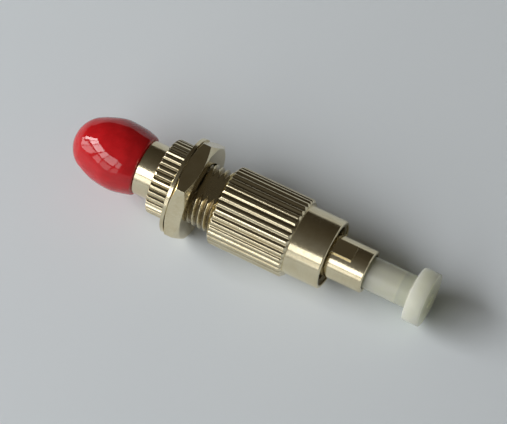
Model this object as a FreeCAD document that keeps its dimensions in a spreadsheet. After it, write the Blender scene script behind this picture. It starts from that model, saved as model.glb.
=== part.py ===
"""Fibre adapter with an SMA receptacle at one end and an FC plug at the other, both capped.

All pieces lie on the X axis, with the SMA end towards -X and the FC end towards +X.
The origin is on that axis, in the face of the knurled flange that seats on a panel.
Each turned piece is drawn from its own rear end and then set along the axis.
"""
import FreeCAD, Part
import math
import os
import re

import Sketcher

# Driving dimensions, in millimetres unless the name says otherwise.
SIZES = {
    # SMA nose
    "sma_thread_diameter": 6.35,
    "sma_thread_length": 6.2,
    "sma_nose_chamfer": 0.4,
    "sma_bore_diameter": 3.2,
    "sma_ferrule_reach": 9.9,
    "collar_height": 0.325,
    "collar_length": 2.6,
    # knurled flange and panel thread
    "panel_thread_diameter": 8.0,
    "panel_thread_length": 5.5,
    "panel_thread_chamfer": 0.3,
    "panel_flat_depth": 0.7,
    "flange_height": 0.9,
    "flange_length": 2.8,
    "flange_edge": 0.12,
    "flange_relief": 0.4,
    "flange_knurl_count": 36,
    "knurl_depth": 0.28,
    "knurl_width": 0.54,
    "socket_depth": 3.9,
    # panel hardware
    "thread_clearance": 0.05,
    "washer_diameter": 12.5,
    "washer_thickness": 0.45,
    "nut_across_flats": 12.0,
    "nut_thickness": 2.1,
    "nut_chamfer_degrees": 30.0,
    # plug frame
    "frame_bore_diameter": 4.5,
    "frame_wall": 0.5,
    "frame_length": 15.0,
    "frame_rim_chamfer": 0.15,
    "hub_wall": 0.8,
    "hub_length": 3.8,
    "stop_height": 0.5,
    "stop_thickness": 1.0,
    "ferrule_wall_setback": 6.3,
    "ferrule_wall_thickness": 0.8,
    "key_width": 2.0,
    "key_height": 0.45,
    "key_setback": 2.1,
    # coupling nut and its ring
    "coupling_gap": 0.15,
    "coupling_thread_diameter": 8.0,
    "coupling_thread_length": 9.2,
    "grip_wall": 0.82,
    "grip_length": 10.1,
    "grip_chamfer": 0.3,
    "grip_knurl_count": 36,
    "neck_wall": 0.45,
    "neck_length": 4.65,
    "neck_chamfer": 0.15,
    "ring_setback": 1.1,
    "ring_thickness": 0.7,
    "ring_height": 0.85,
    "ring_split_degrees": 24.0,
    # ferrules, fibre and spring
    "running_clearance": 0.05,
    "bond_gap": 0.0125,
    "seat_gap": 0.02,
    "fc_ferrule_diameter": 2.5,
    "fc_ferrule_reach": 4.3,
    "fc_ferrule_chamfer": 0.25,
    "ferrule_hold": 1.6,
    "collar_back": 1.0,
    "float_clearance": 0.1,
    "fibre_diameter": 0.44,
    "stub_shoulder": 0.5,
    "stub_head_thickness": 0.8,
    "stub_head_clearance": 0.2,
    "spring_wire": 0.35,
    "spring_length": 5.3,
    "spring_turns": 6,
    "tube_bore_diameter": 1.6,
    # dust caps
    "sma_cap_clearance": 0.025,
    "sma_cap_mouth_wall": 0.7,
    "sma_cap_nose_radius": 3.8,
    "sma_cap_side_radius": 9.0,
    "sma_cap_end_reach": 3.25,
    "sma_cap_end_wall": 0.9,
    "sma_cap_hollow_lead": 0.1,
    "sma_cap_hollow_flat_diameter": 2.4,
    "ferrule_cap_clearance": 0.02,
    "ferrule_cap_stem_clearance": 0.15,
    "ferrule_cap_insertion": 4.9,
    "ferrule_cap_stem_reach": 5.9,
    "ferrule_cap_tip_gap": 0.8,
    "ferrule_cap_head_diameter": 6.9,
    "ferrule_cap_head_thickness": 2.2,
    "ferrule_cap_edge": 0.25,
}

# Shared radii and stations, as expressions of the sizes above.
SMA_BORE = "sma_bore_diameter / 2"
STUB_SEAT = f"({SMA_BORE} + stub_shoulder)"
SMA_NOSE = "sma_thread_diameter / 2"
COLLAR = f"({SMA_NOSE} + collar_height)"
BARREL = "panel_thread_diameter / 2"
FLANGE = f"({BARREL} + flange_height)"
THREAD_HOLE = f"({BARREL} + thread_clearance)"
FRAME_BORE = "frame_bore_diameter / 2"
FRAME = f"({FRAME_BORE} + frame_wall)"
HUB = f"({FRAME_BORE} + hub_wall)"
STOP = f"({HUB} + stop_height)"
SOCKET = f"({FRAME} + bond_gap)"
RING_BORE = f"({HUB} + running_clearance)"
RING_OUTSIDE = f"({RING_BORE} + ring_height)"
RING_GROOVE = f"({RING_OUTSIDE} + running_clearance)"
GRIP_ROOT = f"({RING_GROOVE} + grip_wall)"
GRIP = f"({GRIP_ROOT} + knurl_depth)"
FERRULE = "fc_ferrule_diameter / 2"
FIBRE_HOLE = "(fibre_diameter / 2 + bond_gap)"

NOSE_END = "-(sma_thread_length + collar_length + flange_length)"
SOCKET_FLOOR = "(panel_thread_length - socket_depth)"
SPIGOT_END = f"({SOCKET_FLOOR} + stub_head_thickness)"
SPIGOT_LENGTH = "(socket_depth - stub_head_thickness)"
STOP_FRONT = f"({SPIGOT_LENGTH} + hub_length + stop_thickness)"
FRAME_SPAN = f"({STOP_FRONT} + frame_length)"
FRAME_END = f"({SPIGOT_END} + {FRAME_SPAN})"
FERRULE_WALL_BACK = f"({FRAME_END} - ferrule_wall_setback - ferrule_wall_thickness)"
HOLDER_LENGTH = "(ferrule_hold + collar_back)"
HOLDER_BACK = f"({FERRULE_WALL_BACK} - seat_gap - {HOLDER_LENGTH})"
SPRING_BACK = f"({HOLDER_BACK} - seat_gap - spring_length)"
COUPLING_BACK = "(panel_thread_length + coupling_gap)"
STUB_FACE = f"({NOSE_END} + sma_ferrule_reach)"
FERRULE_BACK = f"({HOLDER_BACK} + collar_back + bond_gap)"
FERRULE_TIP = f"({FRAME_END} + fc_ferrule_reach)"

doc = FreeCAD.newDocument("fibre_adapter")
sheet = doc.addObject("Spreadsheet::Sheet", "Sizes")
for row, (alias, value) in enumerate(SIZES.items(), start=1):
    sheet.set(f"A{row}", alias)
    sheet.set(f"B{row}", str(value))
    sheet.setAlias(f"B{row}", alias)
doc.recompute()


def bound(text):
    """Write an expression of size names as one that reads the spreadsheet."""
    return re.sub(r"[a-z]\w*", lambda word: f"Sizes.{word[0]}" if word[0] in SIZES else word[0], text)


def new_body(label, station):
    """Start a piece whose own rear end stands at the given station of the axis."""
    body = doc.addObject("PartDesign::Body", label)
    body.Label = label
    body.setExpression("Placement.Base.x", bound(station))
    return body


def new_sketch(body, name, role, offset=None):
    """Add a sketch on one of the body's own planes, moved along its normal if asked."""
    plane = next(item for item in body.Origin.OriginFeatures if item.Role == role)
    sketch = body.newObject("Sketcher::SketchObject", name)
    sketch.AttachmentSupport = [(plane, "")]
    sketch.MapMode = "FlatFace"
    if offset:
        sketch.setExpression("AttachmentOffset.Base.z", bound(offset))
    return sketch


def place_point(sketch, edge, end, across, up):
    """Hold one end of an edge at the given coordinates, which are expressions, zero or more."""
    for direction, axis, text in (("DistanceX", -2, across), ("DistanceY", -1, up)):
        if text == "0":
            sketch.addConstraint(Sketcher.Constraint("PointOnObject", edge, end, axis))
            continue
        start = sketch.getPoint(edge, end)
        value = start.x if direction == "DistanceX" else start.y
        index = sketch.addConstraint(Sketcher.Constraint(direction, -1, 1, edge, end, value))
        sketch.setExpression(f"Constraints[{index}]", bound(text))


def draw_outline(sketch, points):
    """Draw a closed outline of straight edges through points given as expressions."""
    first = sketch.GeometryCount
    count = len(points)
    centre = 20.0
    spread = 10.0
    corners = []
    for number in range(count):
        turn = 2 * math.pi * number / count
        corners.append(FreeCAD.Vector(centre + spread * math.cos(turn), centre - spread * math.sin(turn), 0))
    for number in range(count):
        sketch.addGeometry(Part.LineSegment(corners[number], corners[(number + 1) % count]), False)
    for number in range(count):
        following = first + (number + 1) % count
        sketch.addConstraint(Sketcher.Constraint("Coincident", first + number, 2, following, 1))
    for number, (across, up) in enumerate(points):
        place_point(sketch, first + number, 1, across, up)


def revolve(body, sketch, angle="360"):
    """Turn a profile about the X axis."""
    turned = body.newObject("PartDesign::Revolution", "turned")
    turned.Profile = sketch
    turned.ReferenceAxis = (sketch, ["H_Axis"])
    turned.setExpression("Angle", bound(angle))
    return turned


def turned_piece(label, station, points, angle="360"):
    """Make a turned piece from its half profile of (station, radius) corners."""
    body = new_body(label, station)
    profile = new_sketch(body, "profile", "XZ_Plane")
    draw_outline(profile, points)
    body.Tip = revolve(body, profile, angle)
    return body


def knurl(body, radius, start, length, count):
    """Cut straight V grooves round a grip, from one end of it to the other."""
    groove = new_sketch(body, "knurl_groove", "YZ_Plane", start)
    flank = f"({radius} + knurl_depth)"
    left = groove.addGeometry(Part.LineSegment(FreeCAD.Vector(0, 4, 0), FreeCAD.Vector(-1, 6, 0)), False)
    top = groove.addGeometry(Part.LineSegment(FreeCAD.Vector(-1, 6, 0), FreeCAD.Vector(1, 6, 0)), False)
    right = groove.addGeometry(Part.LineSegment(FreeCAD.Vector(1, 6, 0), FreeCAD.Vector(0, 4, 0)), False)
    for edge, following in ((left, top), (top, right), (right, left)):
        groove.addConstraint(Sketcher.Constraint("Coincident", edge, 2, following, 1))
    groove.addConstraint(Sketcher.Constraint("Symmetric", top, 1, top, 2, -2))
    place_point(groove, left, 1, "0", f"({radius} - knurl_depth)")
    place_point(groove, top, 2, "knurl_width", flank)
    cut = body.newObject("PartDesign::Pocket", "knurl_cut")
    cut.Profile = groove
    cut.Reversed = True
    cut.setExpression("Length", bound(length))
    ring = body.newObject("PartDesign::PolarPattern", "knurl_ring")
    ring.Originals = [cut]
    ring.Axis = (groove, ["N_Axis"])
    ring.Angle = 360
    ring.setExpression("Occurrences", bound(count))
    body.Tip = ring


def make_bulkhead_body():
    """One turned piece: SMA nose, collar, knurled flange and flatted panel thread."""
    collar_start = "sma_thread_length"
    flange_start = f"({collar_start} + collar_length)"
    seat = f"({flange_start} + flange_length)"
    end = f"({seat} + panel_thread_length)"
    floor = f"({end} - socket_depth)"
    body = turned_piece("bulkhead_body", NOSE_END, [
        ("0", SMA_BORE),
        ("0", f"{SMA_NOSE} - sma_nose_chamfer"),
        ("sma_nose_chamfer", SMA_NOSE),
        (collar_start, SMA_NOSE),
        (collar_start, COLLAR),
        (flange_start, COLLAR),
        (flange_start, f"{FLANGE} - flange_edge"),
        (f"{flange_start} + flange_edge", FLANGE),
        (f"{seat} - flange_relief", FLANGE),
        (seat, f"{FLANGE} - flange_relief"),
        (seat, BARREL),
        (f"{end} - panel_thread_chamfer", BARREL),
        (end, f"{BARREL} - panel_thread_chamfer"),
        (end, SOCKET),
        (floor, SOCKET),
        (floor, STUB_SEAT),
        ("sma_ferrule_reach", STUB_SEAT),
        ("sma_ferrule_reach", SMA_BORE),
    ])
    knurl(body, FLANGE, flange_start, "flange_length", "flange_knurl_count")
    flat = new_sketch(body, "panel_flat", "XZ_Plane")
    flat_height = f"{BARREL} - panel_flat_depth"
    above = f"{BARREL} + panel_flat_depth"
    draw_outline(flat, [(seat, flat_height), (seat, above), (end, above), (end, flat_height)])
    cut = body.newObject("PartDesign::Pocket", "panel_flat_cut")
    cut.Profile = flat
    cut.SideType = "Symmetric"
    cut.setExpression("Length", bound("panel_thread_diameter"))
    body.Tip = cut
    return body


def make_panel_washer():
    """Plain washer between the flange and the hex nut."""
    return turned_piece("panel_washer", "0", [
        ("0", THREAD_HOLE),
        ("0", "washer_diameter / 2"),
        ("washer_thickness", "washer_diameter / 2"),
        ("washer_thickness", THREAD_HOLE),
    ])


def make_hex_nut():
    """Hex panel nut with its corners chamfered on both faces."""
    body = new_body("hex_nut", "washer_thickness")
    plane = next(item for item in body.Origin.OriginFeatures if item.Role == "YZ_Plane")
    hexagon = body.newObject("PartDesign::AdditivePrism", "hexagon")
    hexagon.Polygon = 6
    hexagon.AttachmentSupport = [(plane, "")]
    hexagon.MapMode = "FlatFace"
    hexagon.setExpression("Circumradius", bound("nut_across_flats / sqrt(3)"))
    hexagon.setExpression("Height", bound("nut_thickness"))
    trim = new_sketch(body, "corner_trim", "XZ_Plane")
    face_radius = "nut_across_flats / 2"
    beyond = "nut_across_flats * 2 / 3"
    slope = f"({beyond} - {face_radius}) * tan(nut_chamfer_degrees)"
    draw_outline(trim, [("0", face_radius), ("0", beyond), (slope, beyond)])
    far = "nut_thickness"
    draw_outline(trim, [(far, face_radius), (f"{far} - {slope}", beyond), (far, beyond)])
    trimmed = body.newObject("PartDesign::Groove", "corners_trimmed")
    trimmed.Profile = trim
    trimmed.ReferenceAxis = (trim, ["H_Axis"])
    trimmed.Angle = 360
    bore = new_sketch(body, "thread_bore", "XZ_Plane")
    draw_outline(bore, [("0", "0"), ("0", THREAD_HOLE), (far, THREAD_HOLE), (far, "0")])
    bored = body.newObject("PartDesign::Groove", "bored")
    bored.Profile = bore
    bored.ReferenceAxis = (bore, ["H_Axis"])
    bored.Angle = 360
    body.Tip = bored
    return body


def make_plug_frame():
    """Keyed FC plug frame, screwed into the body by its spigot."""
    stop_back = f"({SPIGOT_LENGTH} + hub_length)"
    wall_front = f"({FRAME_SPAN} - ferrule_wall_setback)"
    wall_back = f"({wall_front} - ferrule_wall_thickness)"
    wall_hole = f"({FERRULE} + float_clearance)"
    body = turned_piece("plug_frame", SPIGOT_END, [
        ("0", FRAME_BORE),
        ("0", FRAME),
        (SPIGOT_LENGTH, FRAME),
        (SPIGOT_LENGTH, HUB),
        (stop_back, HUB),
        (stop_back, STOP),
        (STOP_FRONT, STOP),
        (STOP_FRONT, FRAME),
        (f"{FRAME_SPAN} - frame_rim_chamfer", FRAME),
        (FRAME_SPAN, f"{FRAME} - frame_rim_chamfer"),
        (FRAME_SPAN, FRAME_BORE),
        (wall_front, FRAME_BORE),
        (wall_front, wall_hole),
        (wall_back, wall_hole),
        (wall_back, FRAME_BORE),
    ])
    key_foot = f"({FRAME_BORE} + sqrt({FRAME} ^ 2 - key_width ^ 2 / 4)) / 2"
    key_top = f"({FRAME} + key_height)"
    key_side = new_sketch(body, "key_side", "XZ_Plane")
    key_front = f"{FRAME_SPAN} - key_setback"
    draw_outline(key_side, [
        (STOP_FRONT, key_foot),
        (STOP_FRONT, key_top),
        (key_front, key_top),
        (key_front, key_foot),
    ])
    key = body.newObject("PartDesign::Pad", "key")
    key.Profile = key_side
    key.SideType = "Symmetric"
    key.setExpression("Length", bound("key_width"))
    body.Tip = key
    return body


def make_coupling_nut():
    """Knurled coupling nut with a smooth neck and an inner groove for its ring."""
    end = "(grip_length + neck_length)"
    neck = "(coupling_thread_diameter / 2 + neck_wall)"
    thread = "coupling_thread_diameter / 2"
    thread_start = f"({end} - coupling_thread_length)"
    back_bore = f"({STOP} + running_clearance)"
    groove_back = "(ring_setback - running_clearance)"
    groove_front = "(ring_setback + ring_thickness + running_clearance)"
    body = turned_piece("coupling_nut", COUPLING_BACK, [
        ("0", back_bore),
        ("0", f"{GRIP} - grip_chamfer"),
        ("grip_chamfer", GRIP),
        ("grip_length - grip_chamfer", GRIP),
        ("grip_length", f"{GRIP} - grip_chamfer"),
        ("grip_length", neck),
        (f"{end} - neck_chamfer", neck),
        (end, f"{neck} - neck_chamfer"),
        (end, thread),
        (thread_start, thread),
        (thread_start, back_bore),
        (groove_front, back_bore),
        (groove_front, RING_GROOVE),
        (groove_back, RING_GROOVE),
        (groove_back, back_bore),
    ])
    knurl(body, GRIP, "0", "grip_length", "grip_knurl_count")
    return body


def make_retaining_ring():
    """Split ring in the coupling nut's groove, riding on the plug frame's hub."""
    return turned_piece("retaining_ring", f"{COUPLING_BACK} + ring_setback", [
        ("0", RING_BORE),
        ("0", RING_OUTSIDE),
        ("ring_thickness", RING_OUTSIDE),
        ("ring_thickness", RING_BORE),
    ], angle="360 - ring_split_degrees")


def make_sma_stub_ferrule():
    """Fixed ferrule against the shoulder of the SMA bore, with a head that the frame clamps."""
    stem = f"({STUB_SEAT} - bond_gap)"
    head = f"({SOCKET} - stub_head_clearance)"
    stem_length = f"({SOCKET_FLOOR} - {STUB_FACE})"
    end = f"({stem_length} + stub_head_thickness)"
    return turned_piece("sma_stub_ferrule", STUB_FACE, [
        ("0", FIBRE_HOLE),
        ("0", stem),
        (stem_length, stem),
        (stem_length, head),
        (end, head),
        (end, FIBRE_HOLE),
    ])


def make_spring_tube():
    """Spacer tube between the stub ferrule's head and the spring."""
    outside = f"({FRAME_BORE} - running_clearance)"
    length = f"({SPRING_BACK} - {SPIGOT_END})"
    return turned_piece("spring_tube", SPIGOT_END, [
        ("0", "tube_bore_diameter / 2"),
        ("0", outside),
        (length, outside),
        (length, "tube_bore_diameter / 2"),
    ])


def make_ferrule_spring():
    """Coil spring that presses the ferrule's collar forward."""
    body = new_body("ferrule_spring", SPRING_BACK)
    wire = new_sketch(body, "wire", "XZ_Plane")
    circle = wire.addGeometry(Part.Circle(FreeCAD.Vector(1, 2, 0), FreeCAD.Vector(0, 0, 1), 0.2), False)
    place_point(wire, circle, 3, "spring_wire / 2", f"{FRAME_BORE} - float_clearance - spring_wire / 2")
    radius = wire.addConstraint(Sketcher.Constraint("Radius", circle, 0.2))
    wire.setExpression(f"Constraints[{radius}]", bound("spring_wire / 2"))
    coil = body.newObject("PartDesign::AdditiveHelix", "coil")
    coil.Profile = wire
    coil.ReferenceAxis = (wire, ["H_Axis"])
    coil.Mode = "height-turns-angle"
    coil.setExpression("Height", bound("spring_length - spring_wire"))
    coil.setExpression("Turns", bound("spring_turns"))
    body.Tip = coil
    return body


def make_ferrule_collar():
    """Collar that holds the ferrule and seats on the frame's inner wall."""
    outside = f"({FRAME_BORE} - float_clearance)"
    pocket = f"({FERRULE} + bond_gap)"
    return turned_piece("ferrule_collar", HOLDER_BACK, [
        ("0", FIBRE_HOLE),
        ("0", outside),
        (HOLDER_LENGTH, outside),
        (HOLDER_LENGTH, pocket),
        ("collar_back", pocket),
        ("collar_back", FIBRE_HOLE),
    ])


def make_fc_ferrule():
    """Ceramic ferrule with a chamfered tip."""
    length = f"({FERRULE_TIP} - {FERRULE_BACK})"
    return turned_piece("fc_ferrule", FERRULE_BACK, [
        ("0", FIBRE_HOLE),
        ("0", FERRULE),
        (f"{length} - fc_ferrule_chamfer", FERRULE),
        (length, f"{FERRULE} - fc_ferrule_chamfer"),
        (length, FIBRE_HOLE),
    ])


def make_optical_fibre():
    """Large-core fibre from the stub ferrule's face to the FC ferrule's tip."""
    length = f"({FERRULE_TIP} - {STUB_FACE})"
    return turned_piece("optical_fibre", STUB_FACE, [
        ("0", "0"),
        ("0", "fibre_diameter / 2"),
        (length, "fibre_diameter / 2"),
        (length, "0"),
    ])


def make_ferrule_dust_cap():
    """White cap whose stem goes over the ferrule and into the frame."""
    stem = f"({FRAME_BORE} - ferrule_cap_stem_clearance)"
    bore = f"({FERRULE} + ferrule_cap_clearance)"
    head = "ferrule_cap_head_diameter / 2"
    head_back = "(ferrule_cap_insertion + ferrule_cap_stem_reach)"
    end = f"({head_back} + ferrule_cap_head_thickness)"
    bore_depth = "ferrule_cap_insertion + fc_ferrule_reach + ferrule_cap_tip_gap"
    return turned_piece("ferrule_dust_cap", f"{FRAME_END} - ferrule_cap_insertion", [
        ("0", bore),
        ("0", f"{stem} - ferrule_cap_edge"),
        ("ferrule_cap_edge", stem),
        (head_back, stem),
        (head_back, f"{head} - ferrule_cap_edge"),
        (f"{head_back} + ferrule_cap_edge", head),
        (f"{end} - ferrule_cap_edge", head),
        (end, f"{head} - ferrule_cap_edge"),
        (end, "0"),
        (bore_depth, "0"),
        (bore_depth, bore),
    ])


def make_sma_dust_cap():
    """Red dip-moulded cap: a round nose, a bulging side drawn in to the mouth, and a hollow."""
    hollow_radius = f"({SMA_NOSE} + sma_cap_clearance)"
    mouth_radius = f"({hollow_radius} + sma_cap_mouth_wall)"
    length = "(sma_cap_end_reach + sma_thread_length - seat_gap)"
    hollow_start = "(sma_cap_end_reach - sma_cap_hollow_lead)"
    body = new_body("sma_dust_cap", f"{NOSE_END} - sma_cap_end_reach")
    profile = new_sketch(body, "profile", "XZ_Plane")
    axis = FreeCAD.Vector(0, 0, 1)
    # Rough first positions, close enough for the constraints below to settle on the right arcs.
    joint_angle = math.radians(120)
    nose_circle = Part.Circle(FreeCAD.Vector(3.8, 0, 0), axis, 3.8)
    side_circle = Part.Circle(FreeCAD.Vector(6.4, -4.5, 0), axis, 9)
    nose = profile.addGeometry(Part.ArcOfCircle(nose_circle, joint_angle, math.pi), False)
    side = profile.addGeometry(Part.ArcOfCircle(side_circle, math.radians(70), joint_angle), False)
    corners = [(9.4, 3.9), (9.4, 3.2), (3.2, 3.2), (0.9, 1.2), (0.9, 0), (0, 0)]
    edges = []
    for start, end in zip(corners, corners[1:]):
        line = Part.LineSegment(FreeCAD.Vector(*start, 0), FreeCAD.Vector(*end, 0))
        edges.append(profile.addGeometry(line, False))
    profile.addConstraint(Sketcher.Constraint("Tangent", side, 2, nose, 1))
    profile.addConstraint(Sketcher.Constraint("Coincident", side, 1, edges[0], 1))
    for edge, following in zip(edges, edges[1:]):
        profile.addConstraint(Sketcher.Constraint("Coincident", edge, 2, following, 1))
    profile.addConstraint(Sketcher.Constraint("Coincident", edges[-1], 2, nose, 2))
    place_point(profile, nose, 2, "0", "0")
    profile.addConstraint(Sketcher.Constraint("PointOnObject", nose, 3, -1))
    for arc, first, size in ((nose, 3.8, "sma_cap_nose_radius"), (side, 9, "sma_cap_side_radius")):
        radius = profile.addConstraint(Sketcher.Constraint("Radius", arc, first))
        profile.setExpression(f"Constraints[{radius}]", bound(size))
    place_point(profile, edges[0], 1, length, mouth_radius)
    place_point(profile, edges[1], 1, length, hollow_radius)
    place_point(profile, edges[2], 1, hollow_start, hollow_radius)
    place_point(profile, edges[3], 1, "sma_cap_end_wall", "sma_cap_hollow_flat_diameter / 2")
    place_point(profile, edges[4], 1, "sma_cap_end_wall", "0")
    body.Tip = revolve(body, profile)
    return body


pieces = [
    make_sma_dust_cap(),
    make_bulkhead_body(),
    make_panel_washer(),
    make_hex_nut(),
    make_coupling_nut(),
    make_retaining_ring(),
    make_plug_frame(),
    make_sma_stub_ferrule(),
    make_spring_tube(),
    make_ferrule_spring(),
    make_ferrule_collar(),
    make_fc_ferrule(),
    make_optical_fibre(),
    make_ferrule_dust_cap(),
]
doc.recompute()

failed = [item.Name for item in doc.Objects if {"Invalid", "Error"} & set(item.State)]
if failed:
    raise RuntimeError(f"these objects did not build: {failed}")
for piece in pieces:
    if piece.Shape.isNull() or not piece.Shape.isValid() or len(piece.Shape.Solids) != 1:
        raise RuntimeError(f"{piece.Label} is not one sound solid")

os.makedirs("parts", exist_ok=True)
for piece in pieces:
    shape = piece.Shape
    shape.exportStep(f"parts/{piece.Label}.step")
    box = shape.BoundBox
    print(f"{piece.Label}: x {box.XMin:.2f} to {box.XMax:.2f}, r {box.YMax:.2f}, {shape.Volume:.2f} mm3")
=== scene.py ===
"""Looks of the fibre adapter: threads, knurls, caps, spring, fibre, materials, light, floor and camera.

Lengths are written in millimetres and turned into metres where a mesh, light or camera is made. The
solids' frame is kept: X runs along the adapter, with the capped SMA end towards -X.
"""

import math

import bpy
import numpy as np
from mathutils import Matrix, Vector


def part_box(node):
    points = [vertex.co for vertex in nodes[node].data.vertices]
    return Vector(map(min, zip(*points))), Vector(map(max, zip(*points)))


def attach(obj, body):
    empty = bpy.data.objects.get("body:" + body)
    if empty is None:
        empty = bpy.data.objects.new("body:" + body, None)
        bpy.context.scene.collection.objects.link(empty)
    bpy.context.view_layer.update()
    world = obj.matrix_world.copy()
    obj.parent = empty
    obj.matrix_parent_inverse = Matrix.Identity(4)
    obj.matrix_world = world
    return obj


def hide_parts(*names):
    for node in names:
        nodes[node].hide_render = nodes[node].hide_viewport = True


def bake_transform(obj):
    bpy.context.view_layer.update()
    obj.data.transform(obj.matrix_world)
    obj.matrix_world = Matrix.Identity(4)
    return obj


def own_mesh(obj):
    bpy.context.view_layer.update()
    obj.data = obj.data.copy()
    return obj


MM = 0.001
TURN = 2 * math.pi

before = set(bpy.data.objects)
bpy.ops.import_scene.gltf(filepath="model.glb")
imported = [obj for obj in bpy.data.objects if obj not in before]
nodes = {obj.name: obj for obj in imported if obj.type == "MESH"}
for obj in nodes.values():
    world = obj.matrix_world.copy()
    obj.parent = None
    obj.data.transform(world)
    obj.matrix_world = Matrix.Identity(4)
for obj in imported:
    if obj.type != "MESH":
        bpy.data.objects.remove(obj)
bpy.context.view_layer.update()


def node_span(name):
    """Lowest and highest corner of a CAD node, in millimetres."""
    low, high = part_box(name)
    return [value / MM for value in low], [value / MM for value in high]


# Corners of the solids' boxes, in millimetres.
BODY_LOW, BODY_HIGH = node_span("bulkhead_body")
NUT_LOW, NUT_HIGH = node_span("coupling_nut")
CAP_LOW, CAP_HIGH = node_span("sma_dust_cap")
WHITE_LOW, WHITE_HIGH = node_span("ferrule_dust_cap")
WASHER_LOW, WASHER_HIGH = node_span("panel_washer")
SPRING_LOW, SPRING_HIGH = node_span("ferrule_spring")
FIBRE_LOW, FIBRE_HIGH = node_span("optical_fibre")
FERRULE_END = node_span("fc_ferrule")[1][0]

# Sizes of the solids that their boxes don't show, and the roots and crests of the threads.
SMA_RADIUS, SMA_ROOT, SMA_PITCH = 3.175, 2.76, 0.7056
SMA_BORE, STUB_SEAT = 1.6, 2.1
SMA_NOSE_CHAMFER = 0.4
COLLAR_RADIUS = 3.5
FLANGE_RADIUS, FLANGE_RELIEF = 4.9, 0.4
COLLAR_START, FLANGE_START, SEAT = -5.4, -2.8, 0.0
PANEL_RADIUS, PANEL_ROOT, PANEL_PITCH, PANEL_FLAT = 4.0, 3.55, 0.75, 3.3
PANEL_CHAMFER = 0.3
SOCKET_RADIUS, SOCKET_FLOOR, STUB_FACE = 2.7625, 1.6, -1.7
KNURL_COUNT = 36
GRIP_RADIUS, GRIP_CHAMFER, GRIP_LENGTH = 5.1, 0.3, 10.1
NECK_RADIUS, NECK_CHAMFER = 4.45, 0.15
NUT_THREAD_RADIUS, NUT_THREAD_CREST, NUT_THREAD_START = 4.0, 3.62, 11.2
NUT_BACK_BORE, NUT_GROOVE_RADIUS, NUT_GROOVE = 3.6, 4.0, (6.7, 7.5)

# Knurl grooves: depth, half width, and how strongly painted shade darkens them.
GRIP_GROOVE, FLANGE_GROOVE = (0.18, 0.40, 0.62), (0.25, 0.33, 1.0)
KNURL_BLEND = 0.03

# Threads: shares of half a pitch at the root and up the flank, an even darkening on a flat, and the least
# painted shade inside a nut.
THREAD_ROOT, THREAD_FLANK = 0.1, 0.78
FLAT_DARKENING, INNER_PAINTED_SHADE = 0.25, 0.6
FLAT_LEAST_FACING = 0.3

# Mesh detail: columns round the axis, rings to a pitch, and the angles at which edges stay sharp.
PLAIN_COLUMNS, PANEL_COLUMNS, NUT_COLUMNS = 144, 288, 216
TOOTH_COLUMNS = 24
KNURL_COLUMNS = KNURL_COUNT * TOOTH_COLUMNS
RINGS_TO_PITCH, PANEL_RINGS_TO_PITCH = 10, 14
CHAMFER_STEPS = 6
RING_STEP = 0.05
AXIS_RING = 0.05
ROUNDING_SHARE = 0.45
TURNED_SHARP, MOULDED_SHARP, COIL_SHARP = 32.0, 40.0, 50.0


def soften(corners, radius, steps=4):
    """Round the corners of a profile of (station, radius, relief) points, keeping its two ends."""
    out = [corners[0]]
    for before, here, after in zip(corners, corners[1:], corners[2:]):
        p, q, s = (np.array(point[:2], float) for point in (before, here, after))
        back, ahead = p - q, s - q
        back_length, ahead_length = np.linalg.norm(back), np.linalg.norm(ahead)
        reach = min(radius, ROUNDING_SHARE * back_length, ROUNDING_SHARE * ahead_length)
        p = q + back / back_length * reach
        s = q + ahead / ahead_length * reach
        for step in range(steps + 1):
            t = step / steps
            point = (1 - t) ** 2 * p + 2 * t * (1 - t) * q + t ** 2 * s
            out.append((point[0], point[1], here[2]))
    out.append(corners[-1])
    return out


def plain(*points):
    """Profile points with no relief."""
    return [(station, radius, None) for station, radius in points]


def stretch(start, end, radius, step, relief):
    """Evenly spaced profile points along a straight run that carries a thread."""
    count = max(2, int(abs(end - start) / step) + 1)
    return [(station, radius, relief) for station in np.linspace(start, end, count)]


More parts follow.
